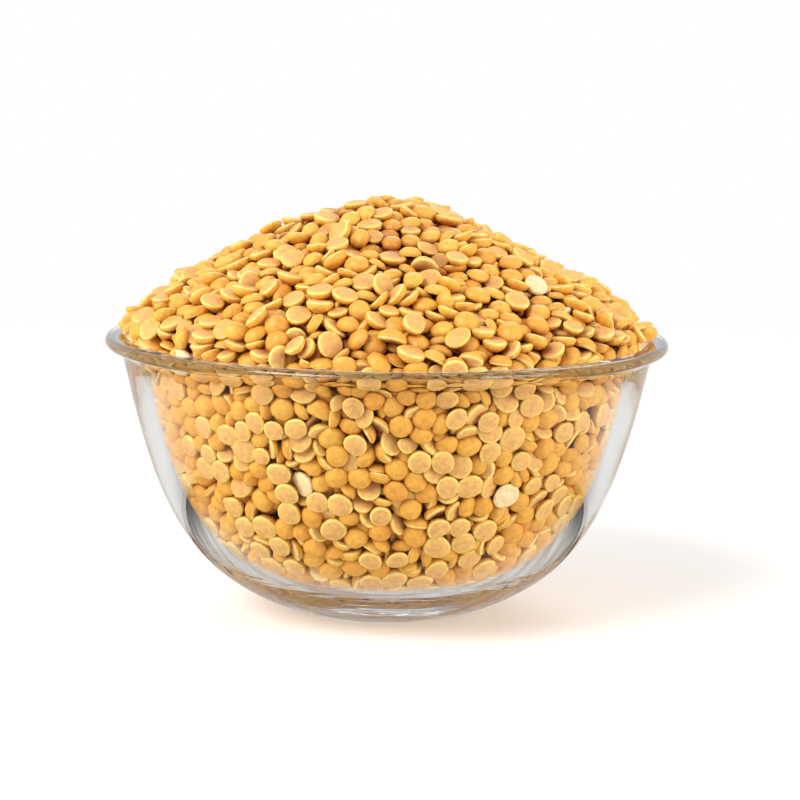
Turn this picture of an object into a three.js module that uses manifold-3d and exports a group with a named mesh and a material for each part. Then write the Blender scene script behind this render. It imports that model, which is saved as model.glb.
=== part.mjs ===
// Clear glass bowl heaped with dry split lentils.
// Millimetres, +Z up. The origin is the centre of the bowl's foot, on the surface it stands on.
import * as THREE from 'three';
import { mergeVertices } from 'three/addons/utils/BufferGeometryUtils.js';
import Module from 'manifold-3d';

// Glass bowl. A belly is the two [radius, height] points that draw a wall's curve outwards.
const RIM_RADIUS = 70;
const BOWL_HEIGHT = 70;
const RIM_THICKNESS = 2.8;
const FOOT_RADIUS = 18;
const OUTER_BELLY = [[48.5, 7.5], [57.2, 24.3]];
const WALL_TOP_RADIUS = 65.5;
const WALL_TOP_HEIGHT = 64;
const WALL_THICKNESS = 4.4;
const BASE_THICKNESS = 8;
const FLOOR_RADIUS = 12;
const INNER_BELLY = [[47, 6.8], [52.8, 31]];
const INNER_TOP_RADIUS = WALL_TOP_RADIUS - WALL_THICKNESS;
const INNER_TOP_HEIGHT = 62;
const LIP_WIDTH = 5;
const BOWL_SIDES = 48;
const CURVE_STEPS = { outside: 8, hollow: 2, edge: 4, top: 1, lip: 4, inside: 7 };

// Heap of lentils
const HEAP_HEIGHT = 105.4;
const HEAP_SLOPE = 0.64;
const HEAP_ROUNDING = 17;
const HEAP_LEAN = -2;
const LUMP_HEIGHT = 0.8;
const LUMP_LENGTH = 8;
const HEAP_RADIUS = 67.8;
const EDGE_STEEPNESS = 14;
const HEAP_PITCH = 14;
const PRESSED_ROWS = 14;
const LIP_ROWS = 3;
const PRESSED_PITCH = 7;
const PRESSED_BUMP = 1.4;
const PRESSED_GAP = 0.8;
const FIT_GAP = 0.35;

// One split lentil, flat on one face and domed on the other
const LENTIL_RADIUS = 2.9;
const LENTIL_THICKNESS = 2.4;
const LENTIL_SIDES = 7;
const CROWN_SIDES = 4;
const CROWN_RADIUS_SHARE = 0.6;
const CROWN_HEIGHT_SHARE = 0.85;
const LENTIL_COUNT = 225;
const LENTIL_SINK = 0.7;
const LENTIL_TILT = 0.6;
const FLAT_SIDE_UP_SHARE = 0.35;
const SPREAD_RADIUS = 66.2;
const ANGLE_JITTER = 0.03;
const GOLDEN_ANGLE = Math.PI * (3 - Math.sqrt(5));

const wasm = await Module();
wasm.setup();

// Repeatable random numbers between 0 and 1 (mulberry32).
function seededRandom(seed) {
  let state = seed;
  return () => {
    state = (state + 0x6d2b79f5) | 0;
    let mixed = Math.imul(state ^ (state >>> 15), 1 | state);
    mixed = (mixed + Math.imul(mixed ^ (mixed >>> 7), 61 | mixed)) ^ mixed;
    return ((mixed ^ (mixed >>> 14)) >>> 0) / 4294967296;
  };
}

const random = seededRandom(29);
const between = (low, high) => low + (high - low) * random();
const point = (radius, height) => new THREE.Vector2(radius, height);

// Points along curves laid end to end, each with its own number of steps.
function chain(...stretches) {
  const points = [];
  for (const [curve, steps] of stretches) {
    const next = curve.getPoints(steps);
    points.push(...(points.length ? next.slice(1) : next));
  }
  return points;
}

// Outside of the wall, from the foot up to the root of the rim.
function outerWall() {
  return new THREE.CubicBezierCurve(
    point(FOOT_RADIUS, 0),
    point(...OUTER_BELLY[0]),
    point(...OUTER_BELLY[1]),
    point(WALL_TOP_RADIUS, WALL_TOP_HEIGHT),
  );
}

// Inside of the bowl, from the edge of its floor up to the lip, set in and raised by `gap`.
function innerWall(gap) {
  const inset = (radius, height) => point(radius - gap, height + gap);
  return new THREE.CubicBezierCurve(
    inset(FLOOR_RADIUS, BASE_THICKNESS),
    inset(...INNER_BELLY[0]),
    inset(...INNER_BELLY[1]),
    inset(INNER_TOP_RADIUS, INNER_TOP_HEIGHT),
  );
}

// The bend that carries a wall on in its own direction, out of its last belly point and its top,
// and turns it level at a height and a radius.
function bend([bellyRadius, bellyHeight], [topRadius, topHeight], [endRadius, endHeight]) {
  const lean = (topRadius - bellyRadius) / (topHeight - bellyHeight);
  return new THREE.QuadraticBezierCurve(
    point(topRadius, topHeight),
    point(topRadius + lean * (endHeight - topHeight), endHeight),
    point(endRadius, endHeight),
  );
}

// The round lip, from the top of the inside wall out to the rim's flat top, set in and raised by
// `gap`.
function lip(gap) {
  const inset = ([radius, height]) => [radius - gap, height + gap];
  return bend(
    inset(INNER_BELLY[1]),
    inset([INNER_TOP_RADIUS, INNER_TOP_HEIGHT]),
    inset([INNER_TOP_RADIUS + LIP_WIDTH, BOWL_HEIGHT]),
  );
}

// The outside of the flared rim: the hollow under it, its round edge and its flat top.
function rimCurves() {
  const edgeRadius = RIM_THICKNESS / 2;
  const edgeStart = RIM_RADIUS - edgeRadius;
  const underside = BOWL_HEIGHT - RIM_THICKNESS;
  const hollow = bend(
    OUTER_BELLY[1], [WALL_TOP_RADIUS, WALL_TOP_HEIGHT], [edgeStart, underside],
  );
  const edge = new THREE.EllipseCurve(
    edgeStart, BOWL_HEIGHT - edgeRadius, edgeRadius, edgeRadius, -Math.PI / 2, Math.PI / 2,
  );
  const top = new THREE.LineCurve(
    point(edgeStart, BOWL_HEIGHT),
    point(INNER_TOP_RADIUS + LIP_WIDTH, BOWL_HEIGHT),
  );
  return { hollow, edge, top };
}

// The bowl's section turned about the axis.
function bowlGeometry() {
  const rim = rimCurves();
  const skin = chain(
    [outerWall(), CURVE_STEPS.outside],
    [rim.hollow, CURVE_STEPS.hollow],
    [rim.edge, CURVE_STEPS.edge],
    [rim.top, CURVE_STEPS.top],
  );
  const inside = chain([innerWall(0), CURVE_STEPS.inside], [lip(0), CURVE_STEPS.lip]);
  const section = [
    point(0, 0), ...skin, ...inside.reverse().slice(1), point(0, BASE_THICKNESS),
  ];
  return new THREE.LatheGeometry(section, BOWL_SIDES).rotateX(Math.PI / 2);
}

// Height of the heap's outside over a point: a cone with a round top that leans a little to one
// side, and that falls off steeply where the outermost lentils lie on the rim.
function heapHeight(x, y) {
  const reach = Math.hypot(x, y);
  const lean = HEAP_LEAN * Math.max(0, 1 - reach / RIM_RADIUS);
  const distance = Math.hypot(x - lean, y);
  const drop = Math.hypot(HEAP_SLOPE * distance, HEAP_ROUNDING) - HEAP_ROUNDING;
  const lumps = LUMP_HEIGHT * Math.sin(x / LUMP_LENGTH + 1.3) * Math.sin(y / LUMP_LENGTH);
  const edge = Math.sqrt(Math.max(0, 1 - (reach / HEAP_RADIUS) ** EDGE_STEEPNESS));
  return BOWL_HEIGHT + edge * (HEAP_HEIGHT - LENTIL_THICKNESS / 2 - drop + lumps - BOWL_HEIGHT);
}

// The core lies this far under the heap's outside.
function coreHeight(x, y) {
  return heapHeight(x, y) - LENTIL_THICKNESS / 2;
}

// One ring of corners round the axis, each drawn in towards the middle by up to `bump`. A ring of
// one corner is a pole.
function ring(count, radius, heightAt, bump = 0) {
  const corners = [];
  for (let i = 0; i < count; i += 1) {
    const turn = (i + 0.5) / count;
    const inset = bump * random();
    const x = (radius - inset) * Math.cos(2 * Math.PI * turn);
    const y = (radius - inset) * Math.sin(2 * Math.PI * turn);
    corners.push({ x, y, z: heightAt(x, y) + inset / 2, turn });
  }
  return corners;
}

// A closed skin over rings of corners that run from the bottom pole to the top one. Two rings are
// joined by always stepping along the one that lags behind, so their numbers of corners may differ.
function skinOver(rings) {
  const positions = [];
  const addTriangle = (...corners) => corners.forEach((c) => positions.push(c.x, c.y, c.z));
  const at = (corners, i) => corners[i % corners.length];
  const turnOf = (corners, i) => at(corners, i).turn + Math.floor(i / corners.length);
  const stepsOf = (corners) => (corners.length > 1 ? corners.length : 0);

  for (let level = 0; level + 1 < rings.length; level += 1) {
    const [low, high] = [rings[level], rings[level + 1]];
    let i = 0;
    let j = 0;
    while (i < stepsOf(low) || j < stepsOf(high)) {
      const lowLags = turnOf(low, i + 1) < turnOf(high, j + 1);
      if (i < stepsOf(low) && (lowLags || j === stepsOf(high))) {
        addTriangle(at(low, i), at(low, i + 1), at(high, j));
        i += 1;
      } else {
        addTriangle(at(low, i), at(high, j + 1), at(high, j));
        j += 1;
      }
    }
  }
  const geometry = new THREE.BufferGeometry();
  geometry.setAttribute('position', new THREE.Float32BufferAttribute(positions, 3));
  return geometry;
}

// The core: from the floor up inside the glass, along the lip and up the heap. Each ring has as
// many corners as its length holds at its pitch. Against the glass the pitch is a lentil's and the
// corners are drawn in unevenly, which makes bumps of a lentil's size.
function coreGeometry() {
  const onFloor = () => BASE_THICKNESS + PRESSED_GAP;
  const along = (radius, pitch) => Math.round(2 * Math.PI * radius / pitch);
  const rings = [ring(1, 0, onFloor)];
  for (const p of innerWall(PRESSED_GAP).getPoints(PRESSED_ROWS)) {
    rings.push(ring(along(p.x, PRESSED_PITCH), p.x, () => p.y, PRESSED_BUMP));
  }
  for (const p of lip(PRESSED_GAP).getPoints(LIP_ROWS).slice(1)) {
    rings.push(ring(along(p.x, HEAP_PITCH), p.x, () => p.y));
  }
  const edgeRadius = INNER_TOP_RADIUS + LIP_WIDTH - PRESSED_GAP;
  const steps = Math.round(edgeRadius / HEAP_PITCH);
  for (let step = steps; step > 0; step -= 1) {
    const radius = edgeRadius * step / steps;
    rings.push(ring(along(radius, HEAP_PITCH), radius, coreHeight));
  }
  rings.push(ring(1, 0, coreHeight));
  return skinOver(rings);
}

// One split lentil: its flat face round the origin, its dome towards +Z.
function lentilGeometry(radius, thickness) {
  return skinOver([
    ring(1, 0, () => 0),
    ring(LENTIL_SIDES, radius, () => 0),
    ring(CROWN_SIDES, CROWN_RADIUS_SHARE * radius, () => CROWN_HEIGHT_SHARE * thickness),
    ring(1, 0, () => thickness),
  ]);
}

// The way the heap's surface faces over a point, from its height a little to each side.
function heapNormal(x, y) {
  const step = 1;
  const slopeX = (heapHeight(x + step, y) - heapHeight(x - step, y)) / (2 * step);
  const slopeY = (heapHeight(x, y + step) - heapHeight(x, y - step)) / (2 * step);
  return new THREE.Vector3(-slopeX, -slopeY, 1).normalize();
}

// A lentil laid on the core at its turn of a sunflower spiral, tilted a little at random, with its
// flat side up or down, and lifted clear of the rim.
function laidLentil(index) {
  const reach = SPREAD_RADIUS * Math.sqrt((index + 0.5) / LENTIL_COUNT);
  const angle = index * GOLDEN_ANGLE + between(-ANGLE_JITTER, ANGLE_JITTER);
  const x = reach * Math.cos(angle);
  const y = reach * Math.sin(angle);
  const radius = LENTIL_RADIUS * between(0.9, 1.07);
  const thickness = LENTIL_THICKNESS * between(0.85, 1.1);

  const facing = heapNormal(x, y);
  facing.x += LENTIL_TILT * between(-1, 1);
  facing.y += LENTIL_TILT * between(-1, 1);
  facing.normalize();
  const up = new THREE.Vector3(0, 0, 1);
  const flatSideUp = random() < FLAT_SIDE_UP_SHARE;
  const dome = flatSideUp ? facing.clone().negate() : facing;
  const turn = new THREE.Quaternion().setFromUnitVectors(up, dome);
  const spin = new THREE.Quaternion().setFromAxisAngle(up, between(0, 2 * Math.PI));

  const base = facing.clone().multiplyScalar(flatSideUp ? thickness - LENTIL_SINK : -LENTIL_SINK);
  const geometry = lentilGeometry(radius, thickness);
  geometry.applyQuaternion(turn.multiply(spin));
  geometry.translate(x + base.x, y + base.y, coreHeight(x, y) + base.z);
  return liftClearOfRim(geometry);
}

// Moves a lentil straight up until no corner of it that is over the glass is lower than the gap.
function liftClearOfRim(geometry) {
  const corners = geometry.getAttribute('position');
  const overGlass = INNER_TOP_RADIUS - FIT_GAP;
  let lift = 0;
  for (let i = 0; i < corners.count; i += 1) {
    if (Math.hypot(corners.getX(i), corners.getY(i)) > overGlass) {
      lift = Math.max(lift, BOWL_HEIGHT + FIT_GAP - corners.getZ(i));
    }
  }
  return geometry.translate(0, 0, lift);
}

// A closed geometry that has only positions, as a solid that can be joined.
function toSolid(geometry) {
  const merged = mergeVertices(geometry, 1e-4);
  return new wasm.Manifold(new wasm.Mesh({
    numProp: 3,
    vertProperties: new Float32Array(merged.getAttribute('position').array),
    triVerts: new Uint32Array(merged.getIndex().array),
  }));
}

function toGeometry(solid) {
  const mesh = solid.getMesh();
  const geometry = new THREE.BufferGeometry();
  geometry.setAttribute('position', new THREE.BufferAttribute(mesh.vertProperties, 3));
  geometry.setIndex(new THREE.BufferAttribute(mesh.triVerts, 1));
  geometry.computeVertexNormals();
  return geometry;
}

// The core with the lentils that show fused on. Only the one largest skin is kept, so no scrap
// lies loose and no hollow is sealed inside.
function heapGeometry() {
  let heap = toSolid(coreGeometry());
  for (let index = 0; index < LENTIL_COUNT; index += 1) {
    heap = heap.add(toSolid(laidLentil(index)));
  }
  const skins = heap.decompose().sort((a, b) => b.volume() - a.volume());
  return toGeometry(skins[0]);
}

function glassBowl() {
  const glass = new THREE.MeshStandardMaterial({
    color: 0xe3e9e8, roughness: 0.04, metalness: 0, transparent: true, opacity: 0.35,
  });
  const mesh = new THREE.Mesh(bowlGeometry(), glass);
  mesh.name = 'bowl';
  return mesh;
}

function lentilHeap() {
  const seed = new THREE.MeshStandardMaterial({ color: 0xe9ac45, roughness: 0.55, metalness: 0 });
  const mesh = new THREE.Mesh(heapGeometry(), seed);
  mesh.name = 'lentils';
  return mesh;
}

const dish = new THREE.Group();
dish.name = 'lentil_bowl';
dish.add(glassBowl(), lentilHeap());

export default dish;
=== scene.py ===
"""A clear glass bowl heaped with dry split lentils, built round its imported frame."""

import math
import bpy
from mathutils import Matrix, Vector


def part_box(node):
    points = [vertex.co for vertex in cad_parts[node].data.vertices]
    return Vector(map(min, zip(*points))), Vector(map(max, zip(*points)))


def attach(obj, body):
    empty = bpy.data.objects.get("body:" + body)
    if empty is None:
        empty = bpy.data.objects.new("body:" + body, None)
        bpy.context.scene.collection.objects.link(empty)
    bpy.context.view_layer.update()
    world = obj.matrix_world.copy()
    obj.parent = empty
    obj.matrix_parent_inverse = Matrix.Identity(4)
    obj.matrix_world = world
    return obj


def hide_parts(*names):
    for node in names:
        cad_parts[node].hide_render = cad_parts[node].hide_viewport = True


bl_info = {
    "name": "Bowl of Split Lentils",
    "version": (1, 0, 0),
    "blender": (4, 5, 0),
    "location": "3D Viewport > Sidebar > Lentil Bowl",
    "description": "Builds a clear glass bowl heaped with dry split lentils, its floor, lights and camera",
    "category": "Add Mesh",
}

import bpy
import numpy as np
from bpy.props import FloatProperty, FloatVectorProperty, IntProperty, PointerProperty
from mathutils import Matrix, Vector

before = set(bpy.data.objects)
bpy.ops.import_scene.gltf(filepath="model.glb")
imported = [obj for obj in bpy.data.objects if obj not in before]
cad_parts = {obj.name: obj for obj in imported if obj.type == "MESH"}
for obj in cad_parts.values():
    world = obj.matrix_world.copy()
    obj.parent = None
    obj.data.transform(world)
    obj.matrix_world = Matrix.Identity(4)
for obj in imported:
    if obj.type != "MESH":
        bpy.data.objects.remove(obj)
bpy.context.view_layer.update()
BOWL_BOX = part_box("bowl")
HEAP_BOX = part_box("lentils")

MM = 0.001
IMAGE_SIDE = 800
WHITE = (1, 1, 1)
BLACK = (0, 0, 0)


# ---- Settings ----


def number_setting(name, description, default, **kind):
    return FloatProperty(name=name, description=description, default=default, **kind)


def length_setting(name, description, default):
    return number_setting(name, description, default, unit="LENGTH")


def colour_setting(name, description, default):
    return FloatVectorProperty(
        name=name, description=description, default=default, subtype="COLOR", min=0, max=1,
    )


class BowlSettings(bpy.types.PropertyGroup):
    """Sizes and tint of the glass bowl."""

    rim_radius: length_setting("Rim Radius", "Outer radius of the flared rim", BOWL_BOX[1].x)
    height: length_setting("Height", "Height of the rim's flat top", BOWL_BOX[1].z)
    rim_thickness: length_setting("Rim Thickness", "Thickness of the flared rim's round edge", 2.8 * MM)
    foot_radius: length_setting("Foot Radius", "Radius of the flat spot the bowl stands on", 18 * MM)
    wall_top_radius: length_setting("Wall Radius", "Outer radius of the wall under the rim", 65.5 * MM)
    wall_thickness: length_setting("Wall Thickness", "Thickness of the wall just under the rim", 4.4 * MM)
    base_thickness: length_setting("Base Thickness", "Thickness of the base at its middle", 8 * MM)
    glass_tint: colour_setting("Glass Tint", "Colour of light through the glass", (0.99, 0.997, 0.993))
    deep_tint: colour_setting("Deep Tint", "Colour of light led on for long", (0.40, 0.41, 0.41))


class LentilSettings(bpy.types.PropertyGroup):
    """Sizes, number and colours of the split lentils and the heap they make."""

    radius: length_setting("Lentil Radius", "Radius of a split lentil's flat face", 2.88 * MM)
    thickness: length_setting("Lentil Thickness", "From the flat face to the top of the dome", 2.35 * MM)
    count: IntProperty(
        name="Count", description="Number of loose lentils round the core", default=5200, min=100,
    )
    depth: length_setting("Depth", "How deep the loose lentils lie over the core", 8.5 * MM)
    steps: IntProperty(
        name="Settling Steps", description="Steps in which the lentils settle", default=200, min=10,
    )
    heap_top: length_setting("Heap Top", "Height of the heap's top", HEAP_BOX[1].z - 0.7 * MM)
    random_seed: IntProperty(name="Random Seed", description="Changes how the lentils lie", default=7)
    dome_colour: colour_setting("Dome Colour", "Colour of the rounded outside", (0.84, 0.465, 0.070))
    dome_deep_colour: colour_setting("Deep Dome Colour", "Colour of the darkest domes", (0.765, 0.33, 0.038))
    face_colour: colour_setting("Split Face Colour", "Colour of the flat split face", (0.80, 0.448, 0.122))
    heart_colour: colour_setting("Face Middle Colour", "Colour of the face's middle", (0.765, 0.402, 0.122))
    # Partly the face edge's own yellow, partly a painted highlight along the edge.
    rim_colour_and_highlight: colour_setting("Rim Colour", "Colour of the split face's rim", (0.93, 0.71, 0.22))
    pale_colour: colour_setting("Pale Colour", "Colour of the few bleached lentils", (0.92, 0.79, 0.50))
    # Painted shade: lentils deep in the layer are darkened towards this colour.
    painted_shade_tint: colour_setting(
        "Depth Tint", "What a lentil's colour is multiplied by deep in the layer", (0.38, 0.11, 0.03),
    )
    # Painted shade: the core stands for the shaded depth between the lentils.
    painted_core_shade: colour_setting("Core Colour", "Colour between the lentils", (0.28, 0.065, 0.015))


class StageSettings(bpy.types.PropertyGroup):
    """The camera, the floor and the light."""

    camera_distance: length_setting("Camera Distance", "From the camera to the aim point", 0.55)
    camera_elevation: number_setting(
        "Camera Elevation", "Angle at which the camera looks down", math.radians(9.5), subtype="ANGLE",
    )
    camera_roll: number_setting(
        "Camera Roll", "Turn of the picture about its middle", math.radians(0.84), subtype="ANGLE",
    )
    focal_pixels: number_setting("Focal Length", "Focal length in pixels of the picture", 2184)
    aim_height: length_setting("Aim Height", "Height of the aim point, on the bowl's axis", 0.050)
    aim_x: number_setting("Aim X", "Column of the picture in which the aim point is seen", 386.2)
    aim_y: number_setting("Aim Y", "Row of the picture in which the aim point is seen", 412.2)
    floor_radius: length_setting("Floor Radius", "Radius of the pale floor", 1.0)
    floor_colour: colour_setting("Floor Colour", "Colour of the pale floor", (0.86, 0.86, 0.86))
    card_width: length_setting("Card Width", "Width of the oval card under the base", 0.220)
    card_depth: length_setting("Card Depth", "Depth of that card from front to back", 0.110)
    # The card's colours are painted reflections in the bowl's base.
    card_colour: colour_setting("Card Colour", "Colour between that card's streaks", (0.80, 0.85, 0.86))
    streak_colour: colour_setting("Streak Colour", "Colour of that card's streaks", (0.60, 0.50, 0.42))
    key_power: number_setting("Key Light", "Power of the large soft light", 10.1, unit="POWER")
    sky_strength: number_setting("Sky Strength", "Brightness of the even light from all round", 0.36)


# ---- Node trees ----


class Wire:
    """An output socket on which Python's operators add Math nodes."""

    def __init__(self, graph, socket):
        self.graph = graph
        self.socket = socket

    def _math(self, operation, other):
        return self.graph.node("ShaderNodeMath", {"operation": operation}, {0: self, 1: other})

    def __add__(self, other):
        return self._math("ADD", other)

    def __mul__(self, other):
        return self._math("MULTIPLY", other)

    def __gt__(self, other):
        return self._math("GREATER_THAN", other)

    __radd__ = __add__
    __rmul__ = __mul__


class Graph:
    """The node tree of a material or of the world, emptied and ready to be filled."""

    def __init__(self, owner):
        owner.use_nodes = True
        self.owner = owner
        self.tree = owner.node_tree
        self.tree.nodes.clear()

    def node(self, kind, settings=None, inputs=None, output=0):
        """Adds a node, sets its settings and a ramp's stops, then its sockets' values or links."""
        node = self.tree.nodes.new(kind)
        for name, value in (settings or {}).items():
            if name == "stops":
                self._set_stops(node.color_ramp, value)
            else:
                setattr(node, name, value)
        for name, value in (inputs or {}).items():
            if isinstance(value, Wire):
                self.tree.links.new(value.socket, node.inputs[name])
            else:
                node.inputs[name].default_value = value
        return Wire(self, node.outputs[output]) if node.outputs else node

    @staticmethod
    def _set_stops(ramp, stops):
        for element in list(ramp.elements)[:-1]:
            ramp.elements.remove(element)
        for index, (position, colour) in enumerate(stops):
            element = ramp.elements[0] if index == 0 else ramp.elements.new(position)
            element.position = position
            element.color = (*colour, 1)

    def mix(self, factor, first, second, blend="MIX"):
        """Two colours through a Mix node."""
        return self.node(
            "ShaderNodeMix",
            {"data_type": "RGBA", "blend_type": blend},
            {"Factor": factor, 6: rgba(first), 7: rgba(second)},
            output=2,
        )

    def blend(self, factor, first, second):
        """Two numbers through a Mix node."""
        return self.node("ShaderNodeMix", {"data_type": "FLOAT"}, {0: factor, 2: first, 3: second})

    def change(self, value, start, end, low=0.0, high=1.0, curve="LINEAR"):
        """A number that goes from low to high while the value goes from start to end."""
        return self.node(
            "ShaderNodeMapRange", {"interpolation_type": curve},
            {"Value": value, "From Min": start, "From Max": end, "To Min": low, "To Max": high},
        )

    def place(self):
        """Object coordinates."""
        return self.node("ShaderNodeTexCoord", output="Object")

    def scaled_place(self, scales):
        """Object coordinates, multiplied by a scale along each axis."""
        return self.node(
            "ShaderNodeVectorMath", {"operation": "MULTIPLY"}, {0: self.place(), 1: scales},
        )

    def length(self, vector):
        return self.node("ShaderNodeVectorMath", {"operation": "LENGTH"}, {0: vector}, "Value")

    def height(self, vector):
        return self.node("ShaderNodeSeparateXYZ", None, {0: vector}, "Z")

    def noise(self, size, detail=2.0):
        """Noise whose patches are about `size` metres across."""
        inputs = {"Vector": self.place(), "Scale": 1 / size, "Detail": detail}
        return self.node("ShaderNodeTexNoise", None, inputs)

    def streaks(self, sizes, detail):
        """Noise whose patches have a size of their own, in metres, along each axis."""
        flow = self.scaled_place([1 / size for size in sizes])
        return self.node("ShaderNodeTexNoise", None, {"Vector": flow, "Scale": 1.0, "Detail": detail})

    def attribute(self, name):
        """A number stored on the piece's vertices."""
        return self.node("ShaderNodeAttribute", {"attribute_name": name}, output="Fac")

    def ray(self, question):
        """What the renderer knows of the ray that meets the surface."""
        return self.node("ShaderNodeLightPath", output=question)

    def bump(self, height, distance):
        """A normal from a height; `distance` is how far, in metres, a height of one stands out."""
        return self.node("ShaderNodeBump", None, {"Height": height, "Distance": distance})

    def principled(self, inputs):
        return self.node("ShaderNodeBsdfPrincipled", None, inputs)

    def clear(self, tint):
        """A surface that light crosses unbent and tinted."""
        return self.node("ShaderNodeBsdfTransparent", None, {"Color": rgba(tint)})

    def mix_shader(self, factor, first, second):
        return self.node("ShaderNodeMixShader", None, {0: factor, 1: first, 2: second})

    def surface(self, shader):
        """Gives the material this surface, and returns the material."""
        self.node("ShaderNodeOutputMaterial", None, {"Surface": shader})
        return self.owner


def rgba(value):
    return value if isinstance(value, Wire) else (*value, 1)


def glass_material(tint, deep_tint):
    """Clear pressed glass, with a slight ripple and with fine level streaks in the thick base.
    Rays to the lamps and soft light from the lentils cross it unbent, so that what lies inside is
    lit. Rays that the glass has bent and led on several times, which would otherwise run on
    inside it and never come out, cross it unbent too, and dimmed but for the thick base."""
    base_top, base_low = 16 * MM, 6 * MM
    ripple_depth = 0.12 * MM
    most_turns = 4.5
    graph = Graph(bpy.data.materials.new("clear_glass"))
    ripple = graph.noise(26 * MM, detail=1.0)
    streaks = graph.streaks((30 * MM, 30 * MM, 1.6 * MM), 2.0)
    in_base = graph.change(graph.height(graph.place()), base_top, base_low)
    glass = graph.principled({
        "Base Color": rgba(tint),
        "Roughness": 0.0,
        "IOR": 1.5,
        "Transmission Weight": 1.0,
        "Normal": graph.bump(ripple + streaks * in_base * 2.0, ripple_depth),
    })
    clear = graph.clear(tint)
    through = graph.mix_shader(in_base, graph.clear(deep_tint), clear)
    freed = graph.mix_shader(graph.ray("Ray Depth") > most_turns, glass, through)
    lit = graph.mix_shader(graph.ray("Is Diffuse Ray"), freed, clear)
    return graph.surface(graph.mix_shader(graph.ray("Is Shadow Ray"), lit, clear))


def lentil_material(lentils):
    """Skin of a split lentil, with fine mottling and grain: golden on its dome, paler and less
    shiny on its split face, which has a bright edge, partly its own yellow and partly a painted
    highlight, and a dull middle. Each lentil has a tone of its own, deeper near the glass as painted
    warm light, a few are bleached, and painted shade darkens those that lie deeper."""
    graph = Graph(bpy.data.materials.new("split_lentil"))
    split = graph.attribute("split_face")
    tone = graph.attribute("tone")
    mottle = graph.noise(1.1 * MM, detail=3.0)
    grain = graph.noise(0.35 * MM)

    off_dome = graph.change(split, 0.0, 0.35)
    on_face = graph.change(split, 0.4, 1.0)
    dull = graph.change(split, 1.0, 1.2)
    dome = graph.mix(tone, lentils.dome_colour, lentils.dome_deep_colour)
    face = graph.mix(tone * 0.45, lentils.face_colour, lentils.dome_colour)
    face = graph.mix(dull, face, lentils.heart_colour)
    colour = graph.mix(off_dome, dome, graph.mix(on_face, lentils.rim_colour_and_highlight, face))
    colour = graph.mix(graph.attribute("bleach"), colour, lentils.pale_colour)
    # Painted shade: the "depth" attribute darkens deep lentils and a band just below the rim.
    painted_shade_multiplier = graph.mix(graph.attribute("depth"), WHITE, lentils.painted_shade_tint)
    colour = graph.mix(1.0, colour, painted_shade_multiplier, blend="MULTIPLY")
    shade = graph.change(mottle, 0.3, 0.7, 0.80, 1.08)
    grey = graph.node("ShaderNodeCombineColor", None, {0: shade, 1: shade, 2: shade})
    relief = graph.blend(on_face, grain * 0.5, mottle + grain)
    return graph.surface(graph.principled({
        "Base Color": graph.mix(1.0, colour, grey, blend="MULTIPLY"),
        "Roughness": graph.blend(on_face, 0.36, 0.55) + mottle * 0.1,
        "Specular IOR Level": 0.42,
        "Subsurface Weight": 0.1,
        "Subsurface Radius": (1.0, 0.45, 0.15),
        "Subsurface Scale": 0.6 * MM,
        "Normal": graph.bump(relief, 0.05 * MM),
    }))


def core_material(colour):
    """Painted shade: a dark sheet for the shaded depth between the lentils, uneven at the size of a lentil.
    """
    graph = Graph(bpy.data.materials.new("painted_shade_core"))
    patches = graph.noise(4 * MM)
    return graph.surface(graph.principled({
        "Base Color": graph.mix(patches, [0.4 * c for c in colour], colour),
        "Roughness": 0.8,
        "Normal": graph.bump(patches, 1.5 * MM),
    }))


def floor_material(colour, radius):
    """A smooth pale floor with the faintest unevenness and a faint shine of its own, which fades
    out towards its edge."""
    graph = Graph(bpy.data.materials.new("pale_floor"))
    floor = graph.principled({
        "Base Color": graph.mix(graph.noise(0.3), [0.985 * c for c in colour], colour),
        "Roughness": 0.6,
        "Specular IOR Level": 0.2,
        "Emission Color": rgba(WHITE),
        "Emission Strength": 0.13,
    })
    distance = graph.length(graph.place())
    fade = graph.change(distance, 0.15 * radius, 0.9 * radius, curve="SMOOTHERSTEP")
    return graph.surface(graph.mix_shader(fade, floor, graph.clear(WHITE)))


def card_material(stage):
    """A card that shines by itself, pale with brown streaks that run from side to side, and that
    fades towards its edge: a painted reflection, seen only in the glass's base."""
    graph = Graph(bpy.data.materials.new("streaked_card"))
    streaks = graph.streaks((45 * MM, 4.5 * MM, 1), 3.0)
    brown = graph.change(streaks, 0.42, 0.62, curve="SMOOTHSTEP")
    outwards = graph.scaled_place((2 / stage.card_width, 2 / stage.card_depth, 0))
    fade = graph.change(graph.length(outwards), 0.55, 1.0, curve="SMOOTHSTEP")
    shade = graph.mix(brown, stage.card_colour, stage.streak_colour)
    return graph.surface(graph.principled({
        "Base Color": rgba(BLACK),
        "Specular IOR Level": 0.0,
        "Emission Color": graph.mix(fade, shade, BLACK),
        "Emission Strength": 0.85,
    }))


# ---- Surfaces ----


def bezier(points, count):
    """Points along a Bezier curve: the corner points weighted by the Bernstein polynomials."""
    points = np.asarray(points, float)
    degree = len(points) - 1
    t = np.linspace(0, 1, count)[:, None]
    return sum(
        math.comb(degree, k) * t ** k * (1 - t) ** (degree - k) * points[k]
        for k in range(degree + 1)
    )


def ring_faces(levels, around):
    """Faces of a closed skin over `levels` rings of `around` corners, between two poles. The
    first pole is corner 0 and the last pole comes after the last ring."""
    here = np.arange(around)
    there = (here + 1) % around
    fan_low = np.stack([np.zeros(around, int), 1 + there, 1 + here], 1)
    low = 1 + around * np.arange(levels - 1)[:, None]
    quads = np.stack(
        [low + here, low + there, low + around + there, low + around + here], -1
    ).reshape(-1, 4)
    top = 1 + around * (levels - 1)
    fan_high = np.stack([top + here, top + there, np.full(around, 1 + around * levels)], 1)
    return fan_low, quads, fan_high


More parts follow.
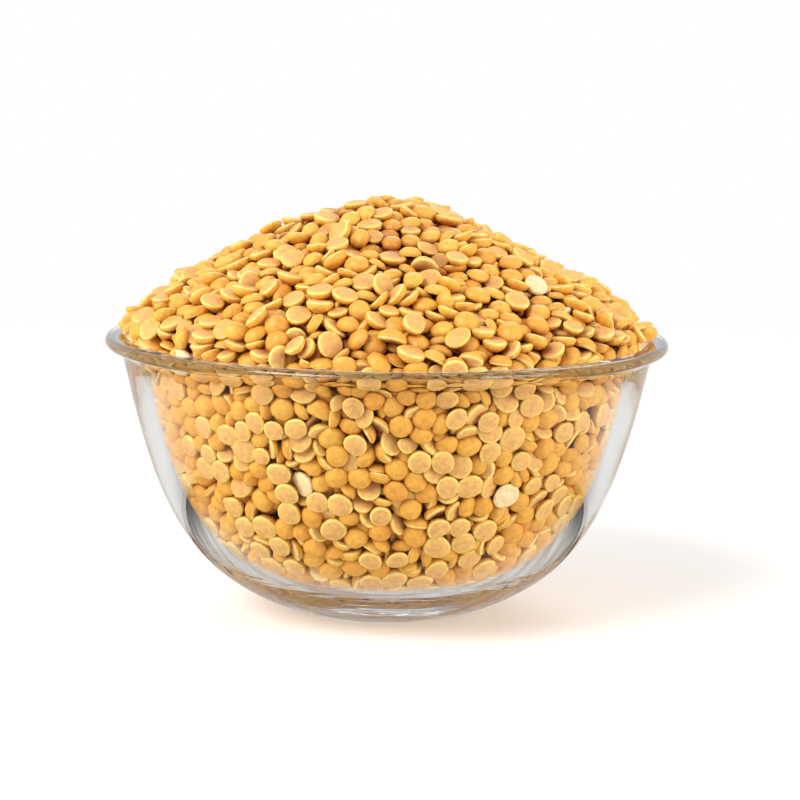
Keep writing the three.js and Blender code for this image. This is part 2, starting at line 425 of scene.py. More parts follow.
def add_piece(name, vertices, faces, material, smooth=True):
    """A mesh object at the origin from arrays of vertices and of faces of any sizes."""
    mesh = bpy.data.meshes.new(name)
    corners = np.concatenate([part.ravel() for part in faces])
    sizes = np.concatenate([np.full(len(part), part.shape[1]) for part in faces])
    mesh.vertices.add(len(vertices))
    mesh.vertices.foreach_set("co", np.asarray(vertices, np.float32).ravel())
    mesh.loops.add(len(corners))
    mesh.loops.foreach_set("vertex_index", corners.astype(np.int32))
    mesh.polygons.add(len(sizes))
    mesh.polygons.foreach_set("loop_start", (np.cumsum(sizes) - sizes).astype(np.int32))
    mesh.polygons.foreach_set("use_smooth", np.full(len(sizes), smooth))
    mesh.update(calc_edges=True)
    mesh.materials.append(material)
    piece = bpy.data.objects.new(name, mesh)
    bpy.context.scene.collection.objects.link(piece)
    return piece


def add_turned(name, section, around, material, smooth=True, stretch=(1, 1, 1)):
    """A piece from a section (radius, height) that goes from pole to pole, turned about the axis
    and stretched: x = r cos a, y = r sin a."""
    angle = np.arange(around) * 2 * np.pi / around
    radius, height = section[1:-1, 0], section[1:-1, 1]
    rings = np.stack([
        radius[:, None] * np.cos(angle),
        radius[:, None] * np.sin(angle),
        np.repeat(height[:, None], around, 1),
    ], -1)
    ends = [[[0, 0, section[0, 1]]], rings.reshape(-1, 3), [[0, 0, section[-1, 1]]]]
    faces = ring_faces(len(radius), around)
    return add_piece(name, np.concatenate(ends) * stretch, faces, material, smooth)


# ---- The bowl's section ----

WALL_STEPS = 48
BEND_STEPS = 14
EDGE_STEPS = 15


def bend(belly, top, end):
    """A quadratic Bezier curve that carries a wall on along the line from its last belly point
    through its top, and turns it level at the end point."""
    belly, top, end = np.array(belly), np.array(top), np.array(end)
    share = (end[1] - top[1]) / (top[1] - belly[1])
    return bezier([top, top + share * (top - belly), end], BEND_STEPS)


def outside_line(bowl):
    """The outside of the section, from the axis to the rim's flat top: foot, wall, the hollow
    under the rim, and the rim's round edge."""
    low_belly = (48.5 * MM, 7.5 * MM)
    high_belly = (57.2 * MM, 24.3 * MM)
    wall_top = (bowl.wall_top_radius, bowl.height - 6 * MM)
    edge = bowl.rim_thickness / 2
    centre = np.array([bowl.rim_radius - edge, bowl.height - edge])
    foot = np.stack([np.linspace(0, bowl.foot_radius, 6), np.zeros(6)], 1)
    wall = bezier([(bowl.foot_radius, 0), low_belly, high_belly, wall_top], WALL_STEPS)
    hollow = bend(high_belly, wall_top, (centre[0], bowl.height - bowl.rim_thickness))
    turn = np.linspace(-np.pi / 2, np.pi / 2, EDGE_STEPS)[:, None]
    round_edge = centre + edge * np.hstack([np.cos(turn), np.sin(turn)])
    return np.concatenate([foot, wall[1:], hollow[1:], round_edge[1:]])


def inside_line(bowl):
    """The inside of the section, from the axis to the rim's flat top: floor, wall and lip."""
    floor_radius = 12 * MM
    lip_width = 5 * MM
    low_belly = (47 * MM, bowl.base_thickness - 1.2 * MM)
    high_belly = (52.8 * MM, 31 * MM)
    wall_top = (bowl.wall_top_radius - bowl.wall_thickness, bowl.height - 8 * MM)
    floor = np.stack([np.linspace(0, floor_radius, 5), np.full(5, bowl.base_thickness)], 1)
    wall = bezier([floor[-1], low_belly, high_belly, wall_top], WALL_STEPS)
    lip = bend(high_belly, wall_top, (wall_top[0] + lip_width, bowl.height))
    return np.concatenate([floor, wall[1:], lip[1:]])


# ---- How the lentils lie, in millimetres ----


class Heap:
    """The outside of the heap: a cone with a round top that leans a little to one side, and that
    falls off steeply at the rim."""

    slope = 0.66
    rounding = 17.0
    lean = -2.0
    steepness = 18
    rim_gap = 1.6
    lump_height = 0.8
    lump_length = 8
    hollow_depth = 1.5
    hollow_x = 45
    hollow_width = 10
    left_drop = 0.8
    right_rise = 0.4
    side_reach = 1.4
    far_start = 52
    far_width = 12
    edge_gap = 5
    edge_wave = 2
    overhang = 6.0
    end_reach = 4.5
    least_gap = 0.5

    def __init__(self, top, rim_height, rim_radius):
        self.top = top
        self.rim_height = rim_height
        self.rim_radius = rim_radius
        self.radius = rim_radius - self.rim_gap

    def height(self, x, y):
        """Top minus a hyperbola over the distance from the leaning apex, plus low lumps and a
        shallow hollow on the right. Near the rim it is lower at the far left, higher at the far
        right, and reaches a little further out at both."""
        reach = np.hypot(x, y)
        lean = self.lean * np.maximum(0, 1 - reach / self.rim_radius)
        drop = np.hypot(self.slope * np.hypot(x - lean, y), self.rounding) - self.rounding
        lumps = self.lump_height * np.sin(x / self.lump_length + 1.3) * np.sin(y / self.lump_length)
        from_hollow = (x - self.hollow_x) ** 2 + y ** 2
        lumps -= self.hollow_depth * np.exp(-from_hollow / (2 * self.hollow_width ** 2))
        aside = x / np.maximum(reach, 1)
        far_out = np.clip((reach - self.far_start) / self.far_width, 0, 1)
        lumps += np.where(x < 0, -self.left_drop, self.right_rise) * aside ** 8 * far_out
        radius = self.radius + self.side_reach * np.abs(aside) ** 5
        edge = np.sqrt(np.maximum(0, 1 - (reach / radius) ** self.steepness))
        return self.rim_height + edge * (self.top - drop + lumps - self.rim_height)

    def edge(self, points):
        """How far out lentils may reach: 3 mm short of the rim's outside in front and behind and
        7 mm towards the sides, in two waves, but 2.5 mm at the far left and right. Where they lie
        on others they reach further out, most at the sides."""
        waves = np.cos(2 * np.arctan2(points[:, 0], -points[:, 1]))
        above = np.clip(points[:, 2] - self.rim_height - 2, 0, 1)
        beside = np.clip(-waves, 0, 1) ** 2
        reach = np.hypot(points[:, 0], points[:, 1])
        ends = (points[:, 0] / np.maximum(reach, 1)) ** 16
        short = self.edge_gap - self.edge_wave * waves
        short = short - above * (0.5 + self.overhang * beside) - self.end_reach * ends
        return self.rim_radius - np.maximum(short, self.least_gap)

    def normal(self, x, y, step=0.5, steepest=2.0):
        """Unit normal, from the slope between points a step to either side."""
        across = (self.height(x + step, y) - self.height(x - step, y)) / (2 * step)
        along = (self.height(x, y + step) - self.height(x, y - step)) / (2 * step)
        across, along = np.clip([across, along], -steepest, steepest)
        return unit(np.stack([-across, -along, np.ones_like(across)], 1))

    def depth(self, points):
        """How far each point lies under the heap's outside, and the way up and out of it."""
        normal = self.normal(points[:, 0], points[:, 1])
        return (self.height(points[:, 0], points[:, 1]) - points[:, 2]) * normal[:, 2], normal


class Glass:
    """Distance to the inside of the bowl and the way from it, from a table over radius and
    height."""

    step = 0.25

    def __init__(self, line, reach, height):
        radius = np.arange(0, reach, self.step)
        level = np.arange(0, height, self.step)
        grid = np.stack(np.meshgrid(radius, level, indexing="ij"), -1)
        nearest = np.full(grid.shape[:2], np.inf)
        side = np.ones(grid.shape[:2])
        for start, end in zip(line[:-1], line[1:]):
            along = end - start
            share = np.clip((grid - start) @ along / (along @ along), 0, 1)
            offset = grid - start - share[..., None] * along
            distance = np.hypot(offset[..., 0], offset[..., 1])
            turn = along[0] * offset[..., 1] - along[1] * offset[..., 0]
            nearer = distance < nearest
            nearest = np.where(nearer, distance, nearest)
            side = np.where(nearer, np.where(turn < 0, -1.0, 1.0), side)
        self.distances = nearest * side
        self.slopes = np.stack(np.gradient(self.distances, self.step), -1)

    def distance(self, points):
        """Distance from the glass at each point, and the way from it."""
        radius = np.hypot(points[:, 0], points[:, 1])
        place = np.stack([radius, points[:, 2]], 1) / self.step
        place = np.clip(place, 0, np.array(self.distances.shape) - 1.001)
        cell = place.astype(int)
        (i, j), (u, v) = cell.T, (place - cell).T
        table = self.distances
        low = table[i, j] * (1 - u) + table[i + 1, j] * u
        high = table[i, j + 1] * (1 - u) + table[i + 1, j + 1] * u
        slope = self.slopes[i, j]
        outward = points[:, :2] / np.maximum(radius, 1e-6)[:, None]
        way = np.concatenate([slope[:, :1] * outward, slope[:, 1:]], 1)
        return low * (1 - v) + high * v, way


def unit(vectors):
    return vectors / np.maximum(np.linalg.norm(vectors, axis=-1, keepdims=True), 1e-9)


def capped(vectors, longest):
    """The vectors, shortened where they are longer than that."""
    length = np.linalg.norm(vectors, axis=1)
    return vectors * np.minimum(1, longest / np.maximum(length, 1e-9))[:, None]


def frames(first, third):
    """Rotations with that third axis, of unit length, and the first axis made square to it."""
    first = unit(first - (first * third).sum(1, keepdims=True) * third)
    return np.stack([first, np.cross(third, first), third], 2)


def square_up(turns):
    """Makes the axes of rotations that have drifted square and of unit length again."""
    return frames(turns[:, :, 0], unit(turns[:, :, 2]))


def small_turns(vectors):
    """Rotation matrices for rotation vectors, by Rodrigues' formula: I + sin K + (1 - cos) K K."""
    angle = np.linalg.norm(vectors, axis=1)
    x, y, z = (vectors / np.maximum(angle, 1e-12)[:, None]).T
    zero = np.zeros_like(x)
    cross = np.stack([zero, -z, y, z, zero, -x, -y, x, zero], 1).reshape(-1, 3, 3)
    sine, cosine = np.sin(angle)[:, None, None], np.cos(angle)[:, None, None]
    return np.eye(3) + sine * cross + (1 - cosine) * cross @ cross


def near_pairs(points, reach, owner):
    """Every pair of points of different owners that are nearer than reach. The points are sorted
    into cells, and each is set against its own cell and half of the neighbours."""
    cell = np.floor((points - points.min(0)) / reach).astype(np.int64) + 1
    size = cell.max(0) + 2
    key = (cell[:, 0] * size[1] + cell[:, 1]) * size[2] + cell[:, 2]
    order = np.argsort(key, kind="stable")
    key = key[order]
    here = np.arange(len(points))
    firsts, seconds = [], []
    for offset in np.ndindex(3, 3, 3):
        move = (np.array(offset) - 1).tolist()
        if move < [0, 0, 0]:
            continue
        shift = (move[0] * size[1] + move[1]) * size[2] + move[2]
        low = np.searchsorted(key, key + shift, "left")
        high = np.searchsorted(key, key + shift, "right")
        if shift == 0:
            low = np.maximum(low, here + 1)
        count = np.maximum(high - low, 0)
        first = np.repeat(here, count)
        second = np.repeat(low - (np.cumsum(count) - count), count) + np.arange(count.sum())
        first, second = order[first], order[second]
        apart = points[first] - points[second]
        near = (owner[first] != owner[second]) & ((apart ** 2).sum(1) < reach ** 2)
        firsts.append(first[near])
        seconds.append(second[near])
    return np.concatenate(firsts), np.concatenate(seconds)


def gather(index, vectors, count):
    """Sums vectors that share an index."""
    return np.stack([np.bincount(index, column, count) for column in vectors.T], 1)


def scatter(glass, heap, count, depth, rng):
    """Places spread evenly through the layer under the glass and the heap's outside. Random
    points push each other apart until they are about a lentil from one another."""
    batch, rounds = 60000, 40
    lowest, rim_margin, wall_gap = 8, 2, 1.2
    spacing, search = 4.1, 4.6
    reach = heap.rim_radius
    places = np.empty((0, 3))
    while len(places) < count:
        tries = rng.uniform([-reach, -reach, lowest], [reach, reach, heap.top], (batch, 3))
        from_glass = glass.distance(tries)[0]
        under = heap.depth(tries)[0]
        inside = (from_glass > 1) & (under > 1) & (np.minimum(from_glass, under) < depth)
        inside &= np.hypot(tries[:, 0], tries[:, 1]) < reach - rim_margin
        places = np.concatenate([places, tries[inside]])
    places = places[:count]
    for step in range(rounds):
        if step % 4 == 0:
            one, other = near_pairs(places, search, np.arange(count))
        apart = places[one] - places[other]
        gap = np.linalg.norm(apart, axis=1, keepdims=True)
        push = 0.25 * np.maximum(0, spacing - gap) * apart / np.maximum(gap, 1e-6)
        places = places + gather(one, push, count) - gather(other, push, count)
        from_glass, way = glass.distance(places)
        places = places + way * np.maximum(0, wall_gap - from_glass)[:, None]
        under, up = heap.depth(places)
        places = places - up * np.maximum(0, wall_gap - under)[:, None]
    return places


def first_lie(places, glass, heap, rng):
    """How each lentil lies at first, with its dome to either side: near level where the heap's
    outside is nearer than the glass, and otherwise along the glass, more loosely further in."""
    beside_glass, at_glass, inside, in_heap = 2.6, 0.8, 1.0, 0.32
    from_glass, way = glass.distance(places)
    under, up = heap.depth(places)
    nearer_glass = from_glass < under
    lie = np.where(nearer_glass[:, None], way, 0.3 * up + np.array([0, 0, 0.7]))
    loose = np.where(nearer_glass, np.where(from_glass < beside_glass, at_glass, inside), in_heap)
    lie = unit(lie + rng.normal(size=lie.shape) * loose[:, None])
    return lie * rng.choice([-1, 1], len(places))[:, None]


def settle(glass, heap, settings, rng):
    """Where the lentils come to rest, how each is turned, and how large each is.

    Each lentil is a rigid rosette of balls, six round one. In every step all balls that overlap
    push each other apart, by half the overlap each, and are pushed out of the glass, in from the
    edge and off the core. A lentil moves by the mean of its pushes and turns by their mean
    torque. A small pull draws it down, to the glass and to the heap's outside, and stops before
    the end so that the overlaps die away."""
    ball, middle_extra, middle_rise = 1.05, 0.1, 0.08
    search = 2.9
    fall, glass_pull, top_pull, pull_reach = 0.03, 0.012, 0.02, 7
    longest_shift, largest_twist = 0.5, 0.25
    calm_steps = 30
    count = settings.count
    depth = settings.depth / MM
    radius = settings.radius / MM
    core = depth - 0.5
    places = scatter(glass, heap, count, depth, rng)
    size = np.clip(rng.normal(1.0, 0.085, count), 0.78, 1.18)
    lie = first_lie(places, glass, heap, rng)
    turns = frames(rng.normal(size=lie.shape), lie)

    angle = np.arange(6) * np.pi / 3
    rosette = np.stack([np.cos(angle), np.sin(angle), np.zeros(6)], 1) * (radius - ball)
    rosette = np.concatenate([rosette, [[0, 0, middle_rise]]])
    owner = np.repeat(np.arange(count), len(rosette))
    arms = rosette * size[:, None, None]
    radii = (np.array([ball] * 6 + [ball + middle_extra]) * size[:, None]).ravel()
    inertia = 1.2 * (0.5 * radius * size) ** 2

    for step in range(settings.steps):
        arm = np.einsum("nij,nsj->nsi", turns, arms)
        points = (places[:, None] + arm).reshape(-1, 3)
        if step % 5 == 0:
            one, other = near_pairs(points, search, owner)
        apart = points[one] - points[other]
        gap = np.maximum(np.sqrt((apart ** 2).sum(1)), 1e-6)
        overlap = radii[one] + radii[other] - gap
        touching = overlap > 0
        a, b = one[touching], other[touching]
        push = apart[touching] * (0.5 * overlap[touching] / gap[touching])[:, None]
        move = gather(a, push, len(points)) - gather(b, push, len(points))
        hits = np.bincount(a, minlength=len(points)) + np.bincount(b, minlength=len(points))

        from_glass, way = glass.distance(points)
        sunk = np.maximum(0, radii - from_glass)
        move += way * sunk[:, None]
        reach = np.hypot(points[:, 0], points[:, 1])
        over = np.maximum(0, reach + radii - heap.edge(points))
        move[:, :2] -= points[:, :2] * (over / np.maximum(reach, 1e-6))[:, None]
        under, up = heap.depth(points)
        deep = np.clip(np.minimum(from_glass, under) - core + radii, 0, 1)
        move += np.where((from_glass < under)[:, None], -way, up) * deep[:, None]
        hits = hits + (sunk > 0) + (over > 0) + (deep > 0)

        share = np.maximum(np.bincount(owner, hits, count), 1) ** -0.75
        shift = gather(owner, move, count) * share[:, None]
        torque = np.cross(arm.reshape(-1, 3), move)
        twist = gather(owner, torque, count) * (0.5 * share / inertia)[:, None]
        if step < settings.steps - calm_steps:
            from_glass, way = glass.distance(places)
            under, up = heap.depth(places)
            in_bowl = (from_glass < pull_reach) & (places[:, 2] < heap.rim_height - 2)
            shift[:, 2] -= fall
            shift -= way * np.where(in_bowl, glass_pull, 0)[:, None]
            shift -= up * np.where(under < pull_reach, top_pull, 0)[:, None]
        places = places + capped(shift, longest_shift)
        turns = small_turns(capped(twist, largest_twist)) @ turns
        if step % 20 == 0:
            turns = square_up(turns)
    return places, square_up(turns), size


# ---- The form of a lentil, in millimetres ----

# Rings of a lentil's skin, from the middle of the flat face over the edge to the dome's top:
# share of the radius, share of the thickness, and split_face, which is 0 on the dome and 1 on the
# flat face, and more where the face is dull.
LENTIL_RINGS = np.array([
    [0.00, 0.00, 1.4],
    [0.80, 0.00, 1.0],
    [1.00, 0.20, 0.0],
    [0.88, 0.60, 0.0],
    [0.52, 0.92, 0.0],
    [0.00, 1.00, 0.0],
])
LENTIL_SIDES = 14

# Kinds of lentil: share of all, stretch of the outline, depth of its blunt side, thickness, and
# share of the radius at which a break cuts it off (1 is whole).
WHOLE = (1.0, 1.0)
KINDS = {
    "lentils_round": dict(share=0.30, oval=0.03, blunt=0.04, thick=1.05, cut=WHOLE),
    "lentils_oval": dict(share=0.25, oval=0.10, blunt=0.05, thick=1.00, cut=WHOLE),
    "lentils_blunt": dict(share=0.25, oval=0.05, blunt=0.16, thick=0.98, cut=WHOLE),
    "lentils_thin": dict(share=0.14, oval=0.06, blunt=0.08, thick=0.78, cut=WHOLE),
    "lentils_broken": dict(share=0.06, oval=0.05, blunt=0.04, thick=0.95, cut=(0.15, 0.75)),
}


def lentil_forms(kind, count, radius, thickness, rng):
    """Corners of `count` lentils, each round its own middle with its dome to +Z.

    The outline's radius is 1 + oval cos 2a + a small three-lobed wave - blunt times a bell over
    one side, cut off by a straight break. A ring scales that outline and stands at its share of
    the thickness. The dome's rings lean towards a side, and the flat face is a little dished."""
    bell_width = 0.55
    seat = 0.45
    angle = np.arange(LENTIL_SIDES) * 2 * np.pi / LENTIL_SIDES + rng.uniform(0, 1, (count, 1))
    turn = rng.uniform(0, 2 * np.pi, (4, count, 1))
    away = (angle - turn[2] + np.pi) % (2 * np.pi) - np.pi
    outline = (
        1
        + kind["oval"] * rng.uniform(0.3, 1.2, (count, 1)) * np.cos(2 * (angle - turn[0]))
        + rng.uniform(0.0, 0.03, (count, 1)) * np.cos(3 * (angle - turn[1]))
        - kind["blunt"] * rng.uniform(0.2, 1.1, (count, 1)) * np.exp(-((away / bell_width) ** 2))
    )
    cut = rng.uniform(*kind["cut"], (count, 1)) + (9 if kind["cut"] == WHOLE else 0)
    outline = np.minimum(outline, cut / np.maximum(np.cos(angle - turn[3]), 1e-3))
    outline = outline[:, None, :] * radius

    share, level, _ = LENTIL_RINGS[1:-1].T
    tall = thickness * kind["thick"] * rng.uniform(0.88, 1.12, (count, 1, 1))
    lean = rng.uniform(-0.12, 0.12, (2, count, 1, 1)) * radius * level[:, None]
    dish = rng.uniform(0.02, 0.16, (count, 1, 1)) * thickness
    x = share[:, None] * outline * np.cos(angle)[:, None, :] + lean[0]
    y = share[:, None] * outline * np.sin(angle)[:, None, :] + lean[1]
    warp = rng.uniform(-0.05, 0.05, (count, 1, 1)) * (x ** 2 - y ** 2) / radius
    z = (level[:, None] - seat) * tall + warp
    rings = np.stack([x, y, z], -1).reshape(count, -1, 3)
    zero = np.zeros((count, 1, 1))
    bottom = np.concatenate([zero, zero, dish - seat * tall], 2)
    top = np.concatenate([lean[0][:, -1:], lean[1][:, -1:], (1 - seat) * tall], 2)
    return np.concatenate([bottom, rings, top], 1)


def clear_of_glass(points, glass, gap=0.08):
    """Moves each lentil off the glass by as much as its worst corner is nearer than the gap."""
    count, corners, _ = points.shape
    for _ in range(3):
        distance, way = glass.distance(points.reshape(-1, 3))
        worst = distance.reshape(count, corners).argmin(1) + corners * np.arange(count)
        lack = np.maximum(0, gap - distance[worst])[:, None]
        points = points + (way[worst] * lack)[:, None]
    return points


def repeat_faces(faces, corners, count):
    """The same faces for `count` forms that have `corners` corners each."""
    start = corners * np.arange(count)[:, None, None]
    return [(start + part).reshape(-1, part.shape[1]) for part in faces]


def inner_glass(bowl, top):
    """The glass as the lentils meet it: the bowl's inside, the rim and the drop beyond it."""
    beyond = [[bowl.rim_radius - 0.2 * MM, bowl.height], [bowl.rim_radius, bowl.height - 20 * MM]]
    line = np.concatenate([inside_line(bowl), beyond]) / MM
    return Glass(line, bowl.rim_radius / MM + 5, top / MM + 8)


def painted_shade_amount(skin, glass, heap):
    """How much painted shade each corner gets, from 0 to 1: more the deeper in the layer, and a little
    against the glass in a soft band just below the rim, where painted shade stands for the rim's shade."""
    bright_layer, fade = 1.4, 3.4
    band_below, band_width, band_dimness = 5, 2.5, 0.3
    from_glass = glass.distance(skin)[0]
    depth = np.clip((np.minimum(from_glass, heap.depth(skin)[0]) - bright_layer) / fade, 0, 1)
    below_rim = (skin[:, 2] - heap.rim_height + band_below) / band_width
    band = band_dimness * np.exp(-below_rim ** 2) * (from_glass < 3)
    return np.minimum(1, depth + band)


def store(piece, name, values):
    """Keeps a number for each vertex under a name that the material reads."""
    layer = piece.data.attributes.new(name, "FLOAT", "POINT")
    layer.data.foreach_set("value", np.asarray(values, np.float32).ravel())


# ---- Operators ----


def stands_for(piece, node):
    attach(piece, "root")
    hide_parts(node)


def look_from(place, target, roll=0.0):
    """A matrix at place that looks at target, turned about its own axis by roll."""
    turn = (target - place).to_track_quat("-Z", "Y").to_matrix()
    return Matrix.Translation(place) @ (turn @ Matrix.Rotation(roll, 3, "Z")).to_4x4()


def add_softbox(name, place, width, height, power):
    """A soft light that faces the middle of the bowl and isn't seen by the camera."""
    light = bpy.data.lights.new(name, "AREA")
    light.shape = "RECTANGLE"
    light.size = width
    light.size_y = height
    light.energy = power
    lamp = bpy.data.objects.new(name, light)
    lamp.matrix_world = look_from(Vector(place), Vector((0, 0, 0.06)))
    lamp.visible_camera = False
    bpy.context.scene.collection.objects.link(lamp)
    return lamp


# What the glass mirrors and bends, from straight down (0) over the horizon (0.5) to straight up.
STUDIO_SHADES = (
    (0.00, (0.05, 0.04, 0.03)),
    (0.20, (0.06, 0.05, 0.04)),
    (0.26, (0.30, 0.28, 0.26)),
    (0.32, (0.82, 0.82, 0.81)),
    (0.48, (0.86, 0.87, 0.87)),
    (0.62, (0.96, 0.97, 1.00)),
    (0.72, (0.55, 0.56, 0.57)),
    (1.00, (0.80, 0.80, 0.80)),
)


class LENTILBOWL_OT_stage(bpy.types.Operator):
    """Add the camera, the pale floor and the soft light"""

    bl_idname = "lentil_bowl.stage"
    bl_label = "Add Stage"

    def execute(self, context):
        stage = context.scene.lentil_bowl_stage
        self.add_camera(context, stage)
        self.add_floor(stage)
        self.add_card(stage)
        self.add_light(context, stage)
        return {"FINISHED"}

    @staticmethod
    def add_camera(context, stage):
        """The camera stands in front, at its elevation, and is aimed beside the bowl's axis by
        what puts the aim point in its row and column."""
        aim = Vector((0, 0, stage.aim_height))
        tilt = stage.camera_elevation
        back = Vector((0, -math.cos(tilt), math.sin(tilt)))
        place = aim + stage.camera_distance * back
        per_pixel = stage.camera_distance / stage.focal_pixels
        side = (IMAGE_SIDE / 2 - stage.aim_x) * per_pixel
        rise = (stage.aim_y - IMAGE_SIDE / 2) * per_pixel
        up = Vector((0, math.sin(tilt), math.cos(tilt)))
        data = bpy.data.cameras.new("camera")
        data.sensor_width = 36
        data.lens = data.sensor_width * stage.focal_pixels / IMAGE_SIDE
        data.clip_start = 0.01
        camera = bpy.data.objects.new("camera", data)
        target = aim + side * Vector((1, 0, 0)) + rise * up
        camera.matrix_world = look_from(place, target, stage.camera_roll)
        context.scene.collection.objects.link(camera)
        context.scene.camera = camera

    @staticmethod
    def add_floor(stage):
        """A round floor under the foot, in rings that grow wider outwards."""
        radius = stage.floor_radius
        thickness = 2 * MM
        top = [(radius * share ** 2, 0) for share in np.linspace(1, 0, 24)]
        section = np.array([(0, -thickness), (radius, -thickness), *top])
        material = floor_material(stage.floor_colour, radius)
        floor = add_turned("floor", section, 96, material, smooth=False)
        floor.visible_glossy = False
        floor.visible_transmission = False

    @staticmethod
    def add_card(stage):
        """A thin oval card under the floor that only shows through and in the glass: glowing, it gives the
        base painted reflections.
        """
        low, high = -4 * MM, -3 * MM
        section = np.array([(0, low), (1, low), (1, high), (0, high)])
        stretch = (stage.card_width / 2, stage.card_depth / 2, 1)
        card = add_turned("base_card", section, 64, card_material(stage), False, stretch)
        card.visible_camera = False
        card.visible_diffuse = False
        card.visible_shadow = False

    @staticmethod
    def add_light(context, stage):
        """A large soft light high in front to the left, weaker ones to the right, behind and low
        at both sides, and an even sky. The sky is white to the camera, and has a studio's shades
        where the glass mirrors and bends it."""
        key = stage.key_power
        add_softbox("key_light", (-0.55, -0.55, 0.85), 0.55, 0.55, key)
        add_softbox("fill_light", (0.75, -0.5, 0.5), 0.5, 0.7, 0.36 * key)
        for side in (-1, 1):
            lamp = add_softbox("side_light", (0.85 * side, -0.2, 0.2), 0.5, 0.4, 0.42 * key)
            lamp.visible_glossy = False
            lamp.visible_transmission = False
        add_softbox("back_light", (0.1, 0.9, 0.8), 0.9, 0.5, 0.4 * key)
        world = bpy.data.worlds.new("studio")
        context.scene.world = world
        graph = Graph(world)
        height = graph.height(graph.node("ShaderNodeTexCoord", output="Generated"))
        studio = graph.node("ShaderNodeValToRGB", {"stops": STUDIO_SHADES}, {0: height * 0.5 + 0.5})
        light, mirrored, seen = (
            graph.node("ShaderNodeBackground", None, {0: colour, 1: strength})
            for colour, strength in (
                (rgba(WHITE), stage.sky_strength), (studio, 1.0), (rgba(WHITE), 1.0),
            )
        )
        unseen = graph.mix_shader(graph.ray("Is Glossy Ray"), light, mirrored)
        sky = graph.mix_shader(graph.ray("Is Camera Ray"), unseen, seen)
        graph.node("ShaderNodeOutputWorld", None, {"Surface": sky})
        context.scene.view_settings.view_transform = "Standard"


class LENTILBOWL_OT_bowl(bpy.types.Operator):
    """Add the clear glass bowl: one closed section turned about the axis"""

    bl_idname = "lentil_bowl.bowl"
    bl_label = "Add Bowl"

    def execute(self, context):
        bowl = context.scene.lentil_bowl_glass
        section = np.concatenate([outside_line(bowl), inside_line(bowl)[::-1]])
        material = glass_material(bowl.glass_tint, bowl.deep_tint)
        piece = add_turned("glass_bowl", section, 192, material)
        stands_for(piece, "bowl")
        return {"FINISHED"}


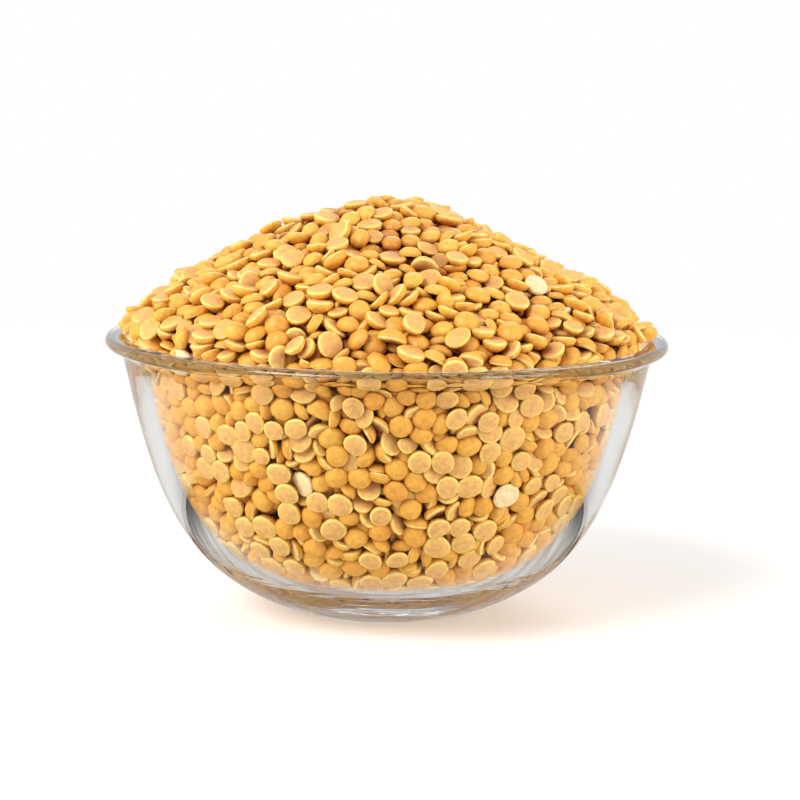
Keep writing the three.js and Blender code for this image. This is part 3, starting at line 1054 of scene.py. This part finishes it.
class LENTILBOWL_OT_lentils(bpy.types.Operator):
    """Add the heap: a dark core of painted shade and loose split lentils that have settled round it"""

    bl_idname = "lentil_bowl.lentils"
    bl_label = "Add Lentils"

    def execute(self, context):
        bowl = context.scene.lentil_bowl_glass
        settings = context.scene.lentil_bowl_lentils
        heap = Heap(settings.heap_top / MM, bowl.height / MM, bowl.rim_radius / MM)
        self.add_core(bowl, settings, heap)
        self.add_lentils(bowl, settings, heap)
        return {"FINISHED"}

    @staticmethod
    def add_core(bowl, settings, heap):
        """The core's section keeps nearly the lentils' depth from the glass, and a little more
        from the heap's outside. Its lengths are millimetres until the end."""
        depth = settings.depth / MM - 0.8
        axis_gap = 0.5
        line = inside_line(bowl) / MM
        line = line[line[:, 1] < heap.rim_height - 6]
        along = unit(np.gradient(line, axis=0))
        low = line + depth * np.stack([-along[:, 1], along[:, 0]], 1)
        low = low[low[:, 0] > axis_gap]
        radii = np.linspace(low[-1, 0], axis_gap, 24)
        high = np.stack([radii, heap.height(radii, 0 * radii) - 1.15 * depth], 1)
        section = np.concatenate([[[0, low[0, 1]]], low, high, [[0, high[-1, 1]]]]) * MM
        piece = add_turned("heap_core", section, 96, core_material(settings.painted_core_shade))
        stands_for(piece, "lentils")

    @staticmethod
    def add_lentils(bowl, settings, heap):
        """Lentils are settled, shared out to the kinds, and each kind is one joined mesh. Those
        near the glass have a deeper tone, painted warm light that stands for the light reaching them
        through the glass."""
        bleached_share = 0.012
        painted_glass_warmth = 0.4
        rng = np.random.default_rng(settings.random_seed)
        glass = inner_glass(bowl, settings.heap_top)
        places, turns, size = settle(glass, heap, settings, rng)
        near_glass = np.clip(1.5 - glass.distance(places)[0] / 4, 0, 1)
        count = len(places)
        ends = np.cumsum([round(count * kind["share"]) for kind in KINDS.values()])
        groups = np.split(rng.permutation(count), ends[:-1])
        rings = len(LENTIL_RINGS) - 2
        corners = rings * LENTIL_SIDES + 2
        faces = ring_faces(rings, LENTIL_SIDES)
        split = np.repeat(LENTIL_RINGS[:, 2], [1] + [LENTIL_SIDES] * rings + [1])
        material = lentil_material(settings)
        ceiling = HEAP_BOX[1].z / MM - 0.1
        for (name, kind), group in zip(KINDS.items(), groups):
            number = len(group)
            forms = lentil_forms(kind, number, settings.radius / MM, settings.thickness / MM, rng)
            forms = forms * size[group][:, None, None]
            points = np.einsum("nij,nsj->nsi", turns[group], forms) + places[group][:, None]
            points[:, :, 2] -= np.maximum(0, points[:, :, 2].max(1, keepdims=True) - ceiling)
            skin = clear_of_glass(points, glass).reshape(-1, 3)
            piece = add_piece(name, skin * MM, repeat_faces(faces, corners, number), material)
            tone = rng.beta(1.6, 2.2, number)
            # Painted warm light: lentils near the glass get a deeper tone.
            tone = tone + painted_glass_warmth * near_glass[group] * (1 - tone)
            pale = (rng.random(number) < bleached_share) * rng.uniform(0.4, 0.9, number)
            store(piece, "split_face", np.tile(split, number))
            store(piece, "tone", np.repeat(tone, corners))
            store(piece, "bleach", np.repeat(pale, corners))
            # The "depth" attribute holds painted shade, not a colour of the lentils themselves.
            store(piece, "depth", painted_shade_amount(skin, glass, heap))
            stands_for(piece, "lentils")


class LENTILBOWL_PT_panel(bpy.types.Panel):
    """The sizes and colours, and a button for each piece."""

    bl_idname = "LENTILBOWL_PT_panel"
    bl_label = "Lentil Bowl"
    bl_space_type = "VIEW_3D"
    bl_region_type = "UI"
    bl_category = "Lentil Bowl"

    def draw(self, context):
        scene = context.scene
        parts = (
            (scene.lentil_bowl_stage, LENTILBOWL_OT_stage),
            (scene.lentil_bowl_glass, LENTILBOWL_OT_bowl),
            (scene.lentil_bowl_lentils, LENTILBOWL_OT_lentils),
        )
        for settings, operator in parts:
            box = self.layout.box()
            for name in settings.__annotations__:
                box.prop(settings, name)
            box.operator(operator.bl_idname)


CLASSES = (
    BowlSettings,
    LentilSettings,
    StageSettings,
    LENTILBOWL_OT_stage,
    LENTILBOWL_OT_bowl,
    LENTILBOWL_OT_lentils,
    LENTILBOWL_PT_panel,
)


def register():
    for cls in CLASSES:
        bpy.utils.register_class(cls)
    bpy.types.Scene.lentil_bowl_glass = PointerProperty(type=BowlSettings)
    bpy.types.Scene.lentil_bowl_lentils = PointerProperty(type=LentilSettings)
    bpy.types.Scene.lentil_bowl_stage = PointerProperty(type=StageSettings)


def unregister():
    del bpy.types.Scene.lentil_bowl_stage
    del bpy.types.Scene.lentil_bowl_lentils
    del bpy.types.Scene.lentil_bowl_glass
    for cls in reversed(CLASSES):
        bpy.utils.unregister_class(cls)


def main():
    register()
    bpy.ops.lentil_bowl.stage()
    bpy.ops.lentil_bowl.bowl()
    bpy.ops.lentil_bowl.lentils()


if __name__ == "__main__":
    main()
